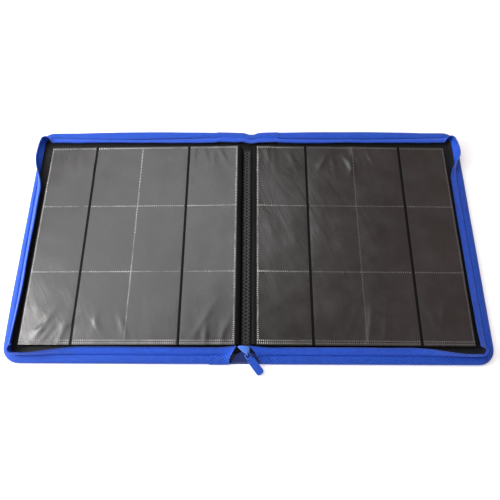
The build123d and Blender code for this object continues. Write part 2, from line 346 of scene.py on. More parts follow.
class Shape:  # gathers closed shells into one mesh
    def __init__(self):
        self.points, self.faces, self.places, self.count = [], [], [], 0

    def add(self, points, faces, places=None):
        points = np.asarray(points, float).reshape(-1, 3)
        self.faces += [tuple(int(i) + self.count for i in face) for face in faces]
        self.points.append(points)
        self.places.append(points if places is None else np.asarray(places, float).reshape(-1, 3))
        self.count += len(points)
        return self

    def slab(self, top, bottom, places=None):  # a thin closed sheet between two grids
        rows, cols = top.shape[:2]
        many = rows * cols
        upper = gridFaces(rows, cols)
        lower = gridFaces(rows, cols, many)[:, ::-1]
        index = np.arange(many).reshape(rows, cols)
        edge = np.concatenate([index[0, :], index[1:, -1], index[-1, -2::-1], index[-2:0:-1, 0]])
        after = np.roll(edge, -1)
        sideFaces = np.stack([after, edge, edge + many, after + many], -1)
        faces = [*upper.tolist(), *lower.tolist(), *sideFaces.tolist()]
        if places is not None:
            places = np.concatenate([places.reshape(-1, 3)] * 2)
        return self.add(np.concatenate([top.reshape(-1, 3), bottom.reshape(-1, 3)]), faces, places)

    def tube(self, path, radius, reference, ring):  # round bar along a path
        path = np.asarray(path, float)
        tangent = np.gradient(path, axis=0)
        tangent /= np.linalg.norm(tangent, axis=1, keepdims=True)
        first = np.cross(tangent, reference)
        first /= np.linalg.norm(first, axis=1, keepdims=True)
        second = np.cross(tangent, first)
        angle = np.arange(ring) * math.tau / ring
        rings = (path[:, None] + radius * (np.cos(angle)[None, :, None] * first[:, None]
                                           + np.sin(angle)[None, :, None] * second[:, None]))
        index = np.arange(len(path) * ring).reshape(len(path), ring)
        nextOne = np.roll(index, -1, axis=1)
        faces = np.stack([index[:-1], nextOne[:-1], nextOne[1:], index[1:]], -1).reshape(-1, 4).tolist()
        faces += [index[0][::-1].tolist(), index[-1].tolist()]
        return self.add(rings, faces)

    def scatter(self, template, faces, places, axes):  # the same small solid at many places
        for place, (alongAxis, acrossAxis, outAxis) in zip(places, axes):
            turned = (template[:, :1] * alongAxis + template[:, 1:2] * acrossAxis
                      + template[:, 2:3] * outAxis)
            self.add(turned + place, faces)
        return self

    def make(self, name, material, onRim=False):
        mesh = bpy.data.meshes.new(name)
        points = np.concatenate(self.points)
        if onRim:
            points = settle(points)
        mesh.from_pydata((points * mm).tolist(), [], self.faces)
        place = mesh.attributes.new("clothPlace", "FLOAT_VECTOR", "POINT")
        place.data.foreach_set("vector", np.concatenate(self.places).astype(np.float32).ravel())
        work = bmesh.new()
        work.from_mesh(mesh)
        bmesh.ops.recalc_face_normals(work, faces=work.faces)
        for face in work.faces:
            face.smooth = True
        for edge in work.edges:  # thin rims of sheets stay crisp
            edge.smooth = edge.calc_face_angle(0.0) < math.radians(55)
        work.to_mesh(mesh)
        work.free()
        mesh.materials.append(materials[material])
        piece = bpy.data.objects.new(name, mesh)
        bpy.context.scene.collection.objects.link(piece)
        material in slotOf
        return piece


def fasten(piece, body, *nodes):  # the piece rides on its body and stands in for these solids
    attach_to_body(piece, body)
    if nodes:
        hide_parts(*nodes)


def gentle(t):  # eases from 0 to 1 exactly as a blended piece does
    t = np.clip(t, 0, 1)
    return t * t * (3 - 2 * t)


def smoothLine(points, count):  # an even curve through a few given points
    points = np.asarray(points, float)
    lengths = np.linalg.norm(np.diff(points, axis=0), axis=1)
    knots = np.concatenate([[0], np.cumsum(lengths)])
    slope = np.gradient(points, knots, axis=0)
    where = np.linspace(0, knots[-1], count)
    part = np.clip(np.searchsorted(knots, where, "right") - 1, 0, len(lengths) - 1)
    t = ((where - knots[part]) / lengths[part])[:, None]
    span = lengths[part][:, None]
    return ((2 * t**3 - 3 * t**2 + 1) * points[part] + (t**3 - 2 * t**2 + t) * span * slope[part]
            + (-2 * t**3 + 3 * t**2) * points[part + 1] + (t**3 - t**2) * span * slope[part + 1])


def ripple(s, seed):  # slow unevenness of sewn cloth, about -1 to 1
    slow, middle, quick = np.sin(s / 23 + seed), np.sin(s / 11.3 + 2.1 * seed), np.sin(s / 6.1 + seed * 3.7)
    return (slow + 0.6 * middle + 0.4 * quick) / 2


# Lines round a cover: points at the rim's inset, the level direction into the cover, distance along


def ease(start, end, step):
    return np.linspace(start, end, max(2, int(abs(end - start) / step) + 1))


def nearLine(side, start, end, inset, step=rim["step"]):
    x = ease(start, end, step)
    return (np.stack([side * x, np.full_like(x, inset - halfDepth)], -1),
            np.tile([0.0, 1.0], (len(x), 1)))


def farLine(side, start, end, inset, step=rim["step"]):
    place, inward = nearLine(side, start, end, inset, step)
    return place * [1, -1], inward * [1, -1]


def outerLine(side, start, end, inset, step=rim["step"]):
    y = ease(start, end, step)
    return (np.stack([np.full_like(y, side * (halfWidth - inset)), y], -1),
            np.tile([-float(side), 0.0], (len(y), 1)))


def cornerArc(side, far, inset, count=9):  # from the near or far edge to the outer edge
    radius = rim["cornerRadius"]
    angle = np.radians(np.linspace(-90, 0, count))
    outward = np.stack([side * np.cos(angle), np.sin(angle) * (-1 if far else 1)], -1)
    middle = np.array([side * (halfWidth - radius), (halfDepth - radius) * (1 if far else -1)])
    return middle + outward * (radius - inset), -outward


def joinLines(*lines):
    place = np.concatenate([line[0] for line in lines])
    inward = np.concatenate([line[1] for line in lines])
    keep = np.concatenate([[True], np.linalg.norm(np.diff(place, axis=0), axis=1) > 1e-6])
    return place[keep], inward[keep]


def alongLine(place):
    return np.concatenate([[0], np.cumsum(np.linalg.norm(np.diff(place, axis=0), axis=1))])


def flipLine(line):
    return line[0][::-1], line[1][::-1]


def coverRim(side, start, inset):
    arcX = halfWidth - rim["cornerRadius"]
    arcY = halfDepth - rim["cornerRadius"]
    return joinLines(nearLine(side, start, arcX, inset), cornerArc(side, False, inset),
                     outerLine(side, -arcY, arcY, inset), flipLine(cornerArc(side, True, inset)),
                     farLine(side, arcX, start, inset))


# Padded rim: outer cloth from the underside over the edge to the line the tape is sewn on

wallOutside = [(14, 0), (9, 0), (3.4, 0), (1.3, 0.35), (0.2, 1.4), (0, 2.7), (0.8, 4.3), (3.2, 5.9),
               (6.4, 6.95), (8.8, 7.25), (10.2, 6.5), (10.9, 5.2)]
wallInside = [(14, 0.8), (9, 0.8), (4.2, 0.8), (2.4, 1.15), (1.3, 1.9), (1.0, 2.8), (1.7, 3.9),
              (3.8, 5.2), (6.5, 6.1), (8.4, 6.3), (9.4, 5.8), (10.1, 4.9)]
wallCount = 22


def wallGrid(place, inward, profile, seed, swell=0.35):
    line = smoothLine(profile, wallCount)
    s = alongLine(place)
    puff = swell * ripple(s, seed)[:, None] * np.clip(line[None, :, 1] / 6, 0, 1)
    level = place[:, None] + inward[:, None] * line[None, :, :1]
    height = line[None, :, 1] + puff * np.sin(np.linspace(0, math.pi, wallCount))[None, :]
    grid = np.concatenate([level, height[..., None]], -1)
    across = np.cumsum(np.linalg.norm(np.diff(line, axis=0, prepend=line[:1]), axis=1))
    places = np.stack([np.broadcast_to(s[:, None], height.shape),
                       np.broadcast_to(across[None], height.shape), 0 * height], -1)
    return grid, places


def plateGrid(side, start, inset, step=9.0):  # a cover's flat area with its rounded outer corners
    radius = rim["cornerRadius"] - inset
    reach = halfDepth - inset
    bend = radius * (1 - np.cos(np.radians(np.linspace(0, 90, 7))))
    straight = ease(-reach + radius, reach - radius, step)[1:-1]
    y = np.concatenate([-reach + bend, straight, (reach - bend)[::-1]])
    past = np.clip(np.abs(y) - (reach - radius), 0, radius)
    outer = halfWidth - inset - radius + np.sqrt(np.maximum(radius**2 - past**2, 0))
    t = np.linspace(0, 1, 34)[None, :]
    x = start + (outer[:, None] - start) * t
    return np.stack([side * x, np.broadcast_to(y[:, None], x.shape)], -1)


def withHeight(plan, height):
    return np.concatenate([plan, np.broadcast_to(height, plan.shape[:2])[..., None]], -1)


farBow = {"size": 2.2, "start": 12.0, "length": 250.0}
plate = {"inset": 13, "thick": 0.75, "foldGap": 2.6}
liningFit = {"inset": 13.2, "step": 7.0, "under": 0.5, "foldGap": 3.0, "rows": 9}


def farSwell(place):  # the far edge bows out a little between its corners
    share = np.clip((np.abs(place[:, 0]) - farBow["start"]) / farBow["length"], 0, 1)
    return np.where(place[:, 1] > halfDepth - 1, farBow["size"] * np.sin(share * math.pi)**0.8, 0)


def flatSheet(shape, plan, top, bottom):  # a level cloth between two heights
    return shape.slab(withHeight(plan, top), withHeight(plan, bottom), withHeight(plan, 0.0))


def coverSkin(cover, side):
    shape = Shape()
    place, inward = coverRim(side, runStart, 0)
    place = place - inward * farSwell(place)[:, None]
    outside, places = wallGrid(place, inward, wallOutside, 1.7 + side)
    inside, _ = wallGrid(place, inward, wallInside, 1.7 + side)
    shape.slab(outside, inside, places)
    flatSheet(shape, plateGrid(side, foldX + plate["foldGap"], plate["inset"]), plate["thick"], 0.0)
    fasten(shape.make(cover + "_rim_fabric", "coverFabric", True), cover + "_cover", cover + "_skin")


def coverLining(cover, side):
    plan = plateGrid(side, foldX + plate["foldGap"], liningFit["inset"], liningFit["step"])
    x, y = plan[..., 0], plan[..., 1]
    pucker = 0.12 * np.sin(x / 31 + 1) * np.sin(y / 27) + 0.08 * np.sin(x / 13 + y / 19)
    shape = flatSheet(Shape(), plan, liningTop + 0.1 + pucker, liningTop - liningFit["under"])
    profileIn = [(16.0, liningTop + 0.1), (13.2, liningTop + 0.3), (12.0, 4.6), (11.4, 6.0), (11.1, 7.1)]
    profileOut = [(16.0, liningTop - 0.3), (12.9, liningTop - 0.1), (11.5, 4.5), (10.9, 5.9), (10.6, 7.0)]
    place, inward = coverRim(side, foldX + liningFit["foldGap"], 0)
    sheets = []
    for profile in (profileIn, profileOut):
        line = smoothLine(profile, liningFit["rows"])
        level = place[:, None] + inward[:, None] * line[None, :, :1]
        height = np.broadcast_to(line[None, :, 1:], level.shape[:2] + (1,))
        sheets.append(np.concatenate([level, height], -1))
    shape.slab(sheets[0], sheets[1], sheets[0])
    fasten(shape.make(cover + "_lining_cloth", "liningCloth", True), cover + "_cover", cover + "_lining")


for cover, side in sides.items():
    coverSkin(cover, side)
    coverLining(cover, side)
print("covers made")

# Where a cover meets the spine: the rim runs on to the fold, and at the near end it rises to the slider

mouth = {"front": (21.0, 12.0), "back": (19.2, 5.5)}  # how far out its foot and its top are
mouthLine = [(-158, 0), (-165, 0), (-170.6, 0.15), (-172.6, 1.2), (-172.6, 3.4), (-170.6, 7.0),
             (-167.2, 10.0), (-163.2, 12.4), (-159.6, 14.4), (-156.2, 16.0), (-153.0, 17.0)]
mouthDraw = [0, 0, 0, 0, 0, 0.05, 0.15, 0.34, 0.55, 0.78, 1.0]
wallShare = 8  # how many of those points belong to the wall, the rest to the tape
morphStart = 33.0  # this far from the middle the near rim starts to rise
tape = {"width": 11.2, "thick": 0.9, "rows": 10, "bulge": 0.9, "base": creaseZ - 1.1}
coil = {"centre": 11.6, "across": 0.95, "up": 0.75, "wire": 0.34, "pitch": 1.35, "steps": 10}
dip = {"middle": 6.0, "width": 7.5, "depth": 4.6}
twist = {"middle": -9.0, "width": 4.5, "turn": 7.0}


def leanNoise(x, seed):
    return 2.2 * ripple(np.asarray(x) * 0.8, seed)


def normalsOf(grid, toward):
    normal = np.cross(np.gradient(grid, axis=0), np.gradient(grid, axis=1))
    normal /= np.linalg.norm(normal, axis=-1, keepdims=True) + 1e-12
    sign = np.sign((normal * toward).sum(-1, keepdims=True).mean())
    return normal * (sign or 1)


def mouthRows(cover, side, points, draw, count):
    foot, top = mouth[cover]
    line = smoothLine([(foot + (top - foot) * f, y, z) for (y, z), f in zip(points, draw)], count)
    return line * [side, 1, 1]


def foldMeasure(grid):
    s = alongLine(grid[:, grid.shape[1] // 2])
    across = alongLine(grid[0])
    return np.stack([np.broadcast_to(s[:, None], grid.shape[:2]),
                     np.broadcast_to(across[None], grid.shape[:2]), np.zeros(grid.shape[:2])], -1)


def nearTapeLine(side, x, lean):  # regular leaning tape, from the crease to its free edge
    v = np.linspace(0, 1, tape["rows"])
    turn = math.radians(lean)
    reach, rise = tape["width"] * v * math.cos(turn), tape["width"] * v * math.sin(turn)
    swell = tape["bulge"] * np.sin(math.pi * v)
    y = creaseInset - halfDepth + reach - swell * math.sin(turn)
    return np.stack([np.full_like(v, side * x), y, tape["base"] + rise + swell * math.cos(turn)], -1)


def nearFold(cover, side):
    foot = mouth[cover][0]
    xs = np.concatenate([ease(runStart, morphStart, 2.5)[:-1], np.linspace(morphStart, foot, 12)])
    share = gentle((morphStart - xs) / (morphStart - foot))[:, None, None]
    wallEnd = mouthRows(cover, side, mouthLine[:wallShare], mouthDraw[:wallShare], wallCount)
    tapeEnd = mouthRows(cover, side, mouthLine[wallShare - 1:], mouthDraw[wallShare - 1:], tape["rows"])
    profile = smoothLine(wallOutside, wallCount)
    wall = np.stack([np.stack([np.full(wallCount, side * x), profile[:, 0] - halfDepth, profile[:, 1]], -1)
                     for x in xs])
    strip = np.stack([nearTapeLine(side, x, leanOf(cover + "_near") + leanNoise(x, side)) for x in xs])
    wall = wall * (1 - share) + wallEnd[None] * share
    strip = strip * (1 - share) + tapeEnd[None] * share
    normal = normalsOf(wall, (0, -0.6, 1.0))
    piece = Shape().slab(wall, wall - rim["cloth"] * normal, foldMeasure(wall))
    piece = piece.make(cover + "_near_fold_rim", "coverFabric", True)
    bendAtFold(piece)
    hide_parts("spine_gusset_near", cover + "_skin")
    zipPieces(cover, "near_fold", strip, (0, -0.5, 1.0), lambda p: bendAtFold(p), "near")


def farFold(cover, side):
    x = side * ease(runStart, 0, 1.8)
    sag = dip["depth"] * np.exp(-((x - dip["middle"]) / dip["width"])**2)
    place = np.stack([x, np.full_like(x, halfDepth)], -1)
    place[:, 1] += farSwell(place) - sag
    inward = np.tile([0.0, -1.0], (len(x), 1))
    wall, _ = wallGrid(place, inward, wallOutside, 0.4, 0.1)
    normal = normalsOf(wall, (0, 0.6, 1.0))
    piece = Shape().slab(wall, wall - rim["cloth"] * normal, foldMeasure(wall))
    piece = piece.make(cover + "_far_fold_rim", "coverFabric", True)
    bendAtFold(piece)
    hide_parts("spine_gusset_far", cover + "_skin")
    turn = twist["turn"] * np.exp(-((x - twist["middle"]) / twist["width"])**2)
    plainReach = tape["width"] * math.cos(math.radians(leanOf(cover + "_far")))
    lean = np.degrees(np.arccos((plainReach - 0.3 * sag) / tape["width"]))
    lean = lean + leanNoise(x, 2.0) * np.clip(np.abs(x) / runStart, 0, 1) + turn
    strip = tapeGrid(place + inward * creaseInset, inward, lean)
    zipPieces(cover, "far_fold", strip, (0, 0.5, 1.0), lambda p: bendAtFold(p), "far")


def bendAtFold(piece):
    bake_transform(piece)


# Zip tape and its coil


def tapeGrid(place, inward, lean):
    turn = np.radians(lean)[:, None, None]
    v = np.linspace(0, 1, tape["rows"])[None, :, None]
    level = np.concatenate([inward, np.zeros((len(inward), 1))], -1)[:, None]
    upward = np.array([0, 0, 1.0])
    base = np.concatenate([place, np.full((len(place), 1), tape["base"])], -1)[:, None]
    outward = -level * np.sin(turn) + upward * np.cos(turn)
    along = level * np.cos(turn) + upward * np.sin(turn)
    return base + along * v * tape["width"] + outward * tape["bulge"] * np.sin(math.pi * v)


def coilPath(strip, normal):  # a helix round the tape's free edge
    edge = strip[:, -1]
    across = strip[:, -1] - strip[:, -2]
    across /= np.linalg.norm(across, axis=1, keepdims=True)
    centre = edge + across * (coil["centre"] - tape["width"])
    s = alongLine(centre)
    fine = np.arange(0, s[-1], coil["pitch"] / coil["steps"])
    line, side, up = (np.stack([np.interp(fine, s, values[:, k]) for k in range(3)], -1)
                      for values in (centre, across, normal[:, -1]))
    angle = (fine / coil["pitch"] * math.tau)[:, None]
    path = line + coil["across"] * np.cos(angle) * side + coil["up"] * np.sin(angle) * up
    return path, np.gradient(line, axis=0)


def zipPieces(cover, part, strip, toward, attach, run):  # the tape and its coil
    normal = normalsOf(strip, toward)
    half = tape["thick"] / 2 * normal
    piece = Shape().slab(strip + half, strip - half, foldMeasure(strip))
    piece = piece.make(f"{cover}_{part}_tape", "zipTape", True)
    attach(piece)
    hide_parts(f"{cover}_tape_{run}")
    path, axis = coilPath(strip, normal)
    piece = Shape().tube(path, coil["wire"], axis, 5).make(f"{cover}_{part}_coil", "coilNylon", True)
    attach(piece)
    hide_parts(f"{cover}_coil_{run}")


# Where a run goes from standing up to its own lean. The pairs are places, the others lengths
turning = {"foldEnd": 48.5, "nearEnd": 75.0, "farCorner": (304.6, 295.0), "half": 160.0, "fade": 30.0,
           "farSide": {"front": 72.0, "back": 48.0},
           "nearSide": {"front": (-280.0, -50.0), "back": (-373.0, -60.0)},
           "nearArc": {"front": (-162.2, -147.0), "back": (-162.2, -146.5)}}
# The outer runs bulge out beyond the far corners
lobe = {"middle": 132.0, "below": {"front": 64.0, "back": 46.0}, "above": 35.0, "turn": 38.0}


def lobeTurn(cover, x, y):
    share = np.clip((np.abs(x) - cornerX) / (halfWidth - creaseInset - cornerX), 0, 1)
    half = np.where(y > lobe["middle"], lobe["above"], lobe["below"][cover])
    reach = np.clip((y - lobe["middle"]) / half, -1, 1)
    return lobe["turn"] * np.cos(reach * math.pi / 2)**2 * share


def riseAttach(cover, run, start, end):  # gives a step that bakes the piece where it stands
    start, end = ((x * mm, y * mm, 0) for x, y in (start, end))
    return lambda piece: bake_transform(piece, cover + "_cover", f"{cover}_{run}_zip", start=start, end=end)


def nearRun(cover, side):
    lean, level = leanOf(cover + "_near"), creaseInset - halfDepth
    place, inward = nearLine(side, runStart, turning["half"], creaseInset)
    leans = lean + leanNoise(place[:, 0] * side, side)
    attach = riseAttach(cover, "near", (side * runStart, level),
                        (side * (runStart + turning["foldEnd"]), level))
    zipPieces(cover, "near_inner", tapeGrid(place, inward, leans), (0, -0.5, 1), attach, "near")
    place, inward = nearLine(side, turning["half"], cornerX, creaseInset)
    share = gentle((cornerX - np.abs(place[:, 0])) / turning["nearEnd"])
    leans = 90 + (lean + leanNoise(place[:, 0] * side, side) - 90) * share
    attach = riseAttach(cover, "near", (side * cornerX, level),
                        (side * (cornerX - turning["nearEnd"]), level))
    zipPieces(cover, "near_outer", tapeGrid(place, inward, leans), (0, -0.5, 1), attach, "near")


def farRun(cover, side):  # this one leans right up to its corner
    lean, level, seed = leanOf(cover + "_far"), halfDepth - creaseInset, 2.0
    place, inward = farLine(side, runStart, turning["half"], creaseInset)
    leans = lean + leanNoise(place[:, 0], seed)
    attach = riseAttach(cover, "far", (side * runStart, level),
                        (side * (runStart + turning["foldEnd"]), level))
    zipPieces(cover, "far_inner", tapeGrid(place, inward, leans), (0, 0.5, 1), attach, "far")
    place, inward = farLine(side, turning["half"], cornerX, creaseInset)
    fade = np.clip((cornerX - np.abs(place[:, 0])) / turning["fade"], 0, 1)
    leans = lean + leanNoise(place[:, 0], seed) * fade
    zipPieces(cover, "far_outer", tapeGrid(place, inward, leans), (0, 0.5, 1),
              lambda piece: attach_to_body(piece, cover + "_far_zip"), "far")


def outerRun(cover, side):  # its far half, its near half, and on round the near corner
    lean, seed = leanOf(cover + "_outer"), 3.0 + side
    creaseX, arcY = halfWidth - creaseInset, halfDepth - rim["cornerRadius"]

    def piecesOf(part, line, leans, toward, start, end, nodes):
        attach = riseAttach(cover, "outer", (side * creaseX, start), (side * creaseX, end))
        zipPieces(cover, part, tapeGrid(*line, leans), toward, attach, nodes)

    line = outerLine(side, 0, cornerY, creaseInset)
    x, y = line[0].T
    share = gentle((cornerY - y) / turning["farSide"][cover])
    leans = 90 + (lean + leanNoise(y, seed) - 90) * share + lobeTurn(cover, x, y)
    end = cornerY - turning["farSide"][cover]
    piecesOf("outer_far", line, leans, (side * 0.6, 0, 1), cornerY, end, "outer")
    line = outerLine(side, 0, -arcY, creaseInset)
    y = line[0][:, 1]
    start, end = turning["nearSide"][cover]
    noise = leanNoise(y, seed) * np.clip((arcY + y) / turning["fade"], 0, 1)
    leans = 90 + (lean + noise - 90) * gentle((y - start) / (end - start))
    piecesOf("outer_near", line, leans, (side * 0.6, 0, 1), start, end, "outer")
    line = flipLine(cornerArc(side, False, creaseInset, 13))
    start, end = turning["nearArc"][cover]
    leans = 90 + (lean - 90) * gentle((line[0][:, 1] - start) / (end - start))
    piecesOf("near_corner_side", line, leans, (side * 0.5, -0.5, 1), start, end, "corners")


def cornerPieces(cover, side):
    def ride(piece):
        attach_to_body(piece, cover + "_cover")

    arcX, arcY = halfWidth - rim["cornerRadius"], halfDepth - rim["cornerRadius"]
    place, inward = nearLine(side, cornerX, arcX, creaseInset, 2.0)
    strip = tapeGrid(place, inward, np.full(len(place), 90.0))
    zipPieces(cover, "near_corner", strip, (0, -0.7, 0.2), ride, "corners")
    place, inward = joinLines(farLine(side, cornerX, arcX, creaseInset, 2.0),
                              cornerArc(side, True, creaseInset, 13),
                              outerLine(side, arcY, cornerY, creaseInset, 2.0))
    upright, leaning = turning["farCorner"]
    share = gentle((upright - np.abs(place[:, 0])) / (upright - leaning))
    bulge = lobeTurn(cover, place[:, 0], place[:, 1]) * (1 - share)
    strip = tapeGrid(place, inward, 90 + bulge + (leanOf(cover + "_far") - 90) * share)
    split = int(np.argmax(np.abs(place[:, 0]) >= upright))
    level = halfDepth - creaseInset
    zipPieces(cover, "far_corner_back", strip[:split + 1], (0, 0.5, 1),
              riseAttach(cover, "far", (side * upright, level), (side * leaning, level)), "corners")
    zipPieces(cover, "far_corner_side", strip[split:], (side * 0.7, 0.7, 0.2), ride, "corners")


stitch = {"length": 2.0, "pitch": 3.0, "radius": 0.26, "inset": 9.3, "lift": 0.08}


def spindle(length, radius, sides=6):  # one stitch, lying along its first axis
    angle = np.arange(sides) * math.tau / sides
    stations = [(-0.42, 0.7), (0.0, 1.0), (0.42, 0.7)]
    points = [(-0.5 * length, 0, -radius)]
    for along, swell in stations:
        wide = radius * swell
        points += [(along * length, math.cos(a) * wide, math.sin(a) * wide) for a in angle]
    points.append((0.5 * length, 0, -radius))
    faces = [(0, 1 + (k + 1) % sides, 1 + k) for k in range(sides)]
    for ring in range(2):
        a, b = 1 + ring * sides, 1 + (ring + 1) * sides
        faces += [(a + k, a + (k + 1) % sides, b + (k + 1) % sides, b + k) for k in range(sides)]
    last = 1 + 2 * sides
    faces += [(last + k, last + (k + 1) % sides, len(points) - 1) for k in range(sides)]
    return np.array(points), faces


def rimStitches(cover, side):
    place, inward = coverRim(side, runStart + 2, stitch["inset"])
    s = alongLine(place)
    where = np.arange(stitch["pitch"], s[-1], stitch["pitch"])
    spot = np.stack([np.interp(where, s, place[:, k]) for k in (0, 1)], -1)
    direction = np.stack([np.interp(where, s, np.gradient(place[:, k], s)) for k in (0, 1)], -1)
    direction /= np.linalg.norm(direction, axis=1, keepdims=True)
    template, faces = spindle(stitch["length"], stitch["radius"])
    spots, axes = [], []
    for (x, y), (dx, dy) in zip(spot, direction):
        spots.append(np.array([x, y, creaseZ + stitch["lift"]]))
        axes.append((np.array([dx, dy, 0]), np.array([-dy, dx, 0]), np.array([0, 0, 1.0])))
    shape = Shape().scatter(template, faces, spots, axes)
    fasten(shape.make(cover + "_rim_stitches", "threadBlue", True), cover + "_cover")


for cover, side in sides.items():
    nearFold(cover, side)
    farFold(cover, side)
    for makePieces in (nearRun, farRun, outerRun, cornerPieces, rimStitches):
        makePieces(cover, side)
print("zip made")

# Spine: outer cloth, lining, the cloth over the fold lines and the hollow under the slider


def crossPlan(lowX, highX, reach, columns, rows):
    x = np.linspace(lowX, highX, columns)[None, :]
    y = np.linspace(-reach, reach, rows)[:, None]
    return np.stack(np.broadcast_arrays(x, y), -1)


spineCloth = {"edge": 0.4, "pastFold": 2.7, "rim": 0.6, "thick": 0.75, "lining": 13, "foldLining": 14,
              "under": 0.5, "over": 0.05, "sag": 0.12}


def spineCloths():
    edge, reach = foldX - spineCloth["edge"], halfDepth - spineCloth["rim"]
    under = liningTop - spineCloth["under"]
    shape = flatSheet(Shape(), crossPlan(-edge, edge, reach, 14, 60), spineCloth["thick"], 0.0)
    fasten(shape.make("spine_fabric", "coverFabric"), "spine", "spine_skin")
    plan = crossPlan(-edge, edge, halfDepth - spineCloth["lining"], 20, 90)
    sag = spineCloth["sag"] * np.sin(plan[..., 1] / 17) * np.sin(plan[..., 0] / 6)
    shape = flatSheet(Shape(), plan, liningTop + sag, under)
    fasten(shape.make("spine_lining_cloth", "liningCloth"), "spine", "spine_lining")
    strips = (("_fold_fabric", "coverFabric", reach, 0.0, spineCloth["thick"]),
              ("_fold_lining", "liningCloth", halfDepth - spineCloth["foldLining"], under,
               liningTop + spineCloth["over"]))
    for cover, side in sides.items():
        start, end = side * edge, side * (foldX + spineCloth["pastFold"])
        for name, cloth, reach, low, high in strips:
            plan = crossPlan(min(start, end), max(start, end), reach, 10, 60)
            piece = flatSheet(Shape(), plan, high, low).make(cover + name, cloth)
            start * mm
            end * mm
            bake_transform(piece)


hollow = {"reach": 13.0, "height": 10.5, "width": 18.0, "narrowing": 7.0, "foot": 0.8, "inset": 1.4,
          "pleat": 0.5, "thick": 0.5, "clear": 2.0}


# its cloth is the cover fabric painted darker, as painted shade under the slider's arch
def hollowGusset():  # cloth drawn in under the zip's near end
    highest = boxOf("spine_gusset_near")[1][2] - hollow["clear"]
    t = np.linspace(0, 1, 16)[:, None]
    x = np.linspace(-1, 1, 24)[None, :]
    width = hollow["width"] - hollow["narrowing"] * t**1.5
    y = hollow["inset"] - halfDepth + hollow["reach"] * t**1.3 * (1 - 0.25 * x**2)
    z = hollow["foot"] + hollow["height"] * t**0.8 + hollow["pleat"] * np.sin(x * 4 + t * 3)
    grid = np.stack([x * width, y, np.clip(z, hollow["foot"], highest)], -1)
    shape = Shape().slab(grid, grid - hollow["thick"] * normalsOf(grid, (0, -1, 0.4)), grid)
    fasten(shape.make("near_hollow_gusset", "innerGusset"), "spine", "spine_gusset_near")


bindingStitch = {"length": 5.4, "radius": 0.56, "pitch": 5.0, "slope": 38, "columns": (-2.3, 2.3),
                 "lift": 0.12, "fromEnd": 4}


def bindingStitches():  # slanting loops hold the leaves to the strip
    template, faces = spindle(bindingStitch["length"], bindingStitch["radius"])
    low, high = boxOf("binding_strip")
    spots, axes = [], []
    for side, x in zip((-1, 1), bindingStitch["columns"]):
        ends = low[1] + bindingStitch["fromEnd"], high[1] - bindingStitch["fromEnd"]
        for step, y in enumerate(np.arange(*ends, bindingStitch["pitch"] / 2)):
            turn = math.radians(bindingStitch["slope"] * (1 if (step + (side > 0)) % 2 else -1))
            spots.append(np.array([x, y, high[2] + bindingStitch["lift"]]))
            axes.append((np.array([math.cos(turn), math.sin(turn), 0]),
                         np.array([-math.sin(turn), math.cos(turn), 0]), np.array([0, 0, 1.0])))
    shape = Shape().scatter(template, faces, spots, axes)
    fasten(shape.make("binding_stitches", "bindingThread"), "spine")


sliderShell = {"top": (-3.2, -152.4, 18.2), "bottom": (1.4, -160.6, 13.2), "half": (8.0, 2.9),
               "thick": 1.5, "gap": 3.6, "droop": 1.1, "dome": 0.8}
pullLoop = {"across": 2.5, "high": 3.1, "lift": 0.6, "wire": 0.75}


def slider():  # two shield plates, a post between them and the loop that the pull hangs in
    t = np.linspace(0, 1, 18)[:, None]
    u = np.linspace(-1, 1, 15)[None, :]
    top, bottom = np.array(sliderShell["top"]), np.array(sliderShell["bottom"])
    wide, narrow = sliderShell["half"]
    width = (narrow + (wide - narrow) * (1 - t)**0.75) * (1 - 0.35 * (1 - np.clip(t / 0.16, 0, 1))**2)
    width = width * (1 - 0.4 * np.clip((t - 0.85) / 0.15, 0, 1)**2)
    middle = (top + (bottom - top) * t[..., None]) + 0 * u[..., None]
    upper = np.stack([middle[..., 0] + u * width, middle[..., 1], middle[..., 2]
                      - sliderShell["droop"] * u**2 + sliderShell["dome"] * np.sin(math.pi * t)], -1)
    normal = normalsOf(upper, (0, -0.3, 1.0))
    lower = upper - normal * (sliderShell["thick"] + sliderShell["gap"])
    shape = Shape().slab(upper, upper - normal * sliderShell["thick"])
    shape.slab(lower, lower - normal * sliderShell["thick"])
    inside = (slice(2, 9), slice(5, 10))
    post = upper[inside] - normal[inside] * 0.7
    shape.slab(post, post - normal[inside] * (sliderShell["gap"] + 1.6))
    axis = np.array(joints["pull_link_swing"]["axis"])
    outward = np.cross(axis, [0, 0, 1.0])
    outward *= np.sign(-outward[1])
    angle = np.radians(np.linspace(-150, 140, 26))[:, None]
    centre = jointPlace("pull_link_swing") + [0, 0, pullLoop["lift"]]
    loop = centre + pullLoop["across"] * np.cos(angle) * outward
    loop = loop + pullLoop["high"] * np.sin(angle) * [0, 0, 1.0]
    shape.tube(loop, pullLoop["wire"], axis, 10)
    fasten(shape.make("slider_shell", "sliderEnamel"), "spine", "slider_body")


spineCloths()
hollowGusset()
bindingStitches()
slider()
print("spine made")

# Leaves

leafLow, leafHigh = boxOf("right_leaf_02")
(innerX, nearY), (outerX, farY) = leafLow[:2], leafHigh[:2]
outerPitch = leafLow[2] - boxOf("right_leaf_03")[0][2]
innerPitch = leafHigh[2] - boxOf("right_leaf_03")[1][2]
leafThick = 0.54
leafRise = {1: 1.3, 2: 0.8, 3: 0.4}  # the uppermost leaves stand up at the binding
film = {"thick": 0.12, "strips": ((1.2, 66.75), (70.25, 203.75), (207.25, 277.3)), "weld": 137.0,
        "parts": ("outer", "middle", "inner"), "margin": 2.4, "second": 5.6, "step": 2.4}
swellShare = {1: 1, 2: 0.3}  # a leaf that lies under another swells less
dot = {"pitch": 2.5, "radius": 0.80, "height": 0.34, "long": 1.6, "short": 0.85, "under": 0.06}
rows = [nearY + (farY - nearY) * k / 3 for k in (1, 2)]
cellHeights = rng.uniform(0.30, 0.75, (2, 4, 3))


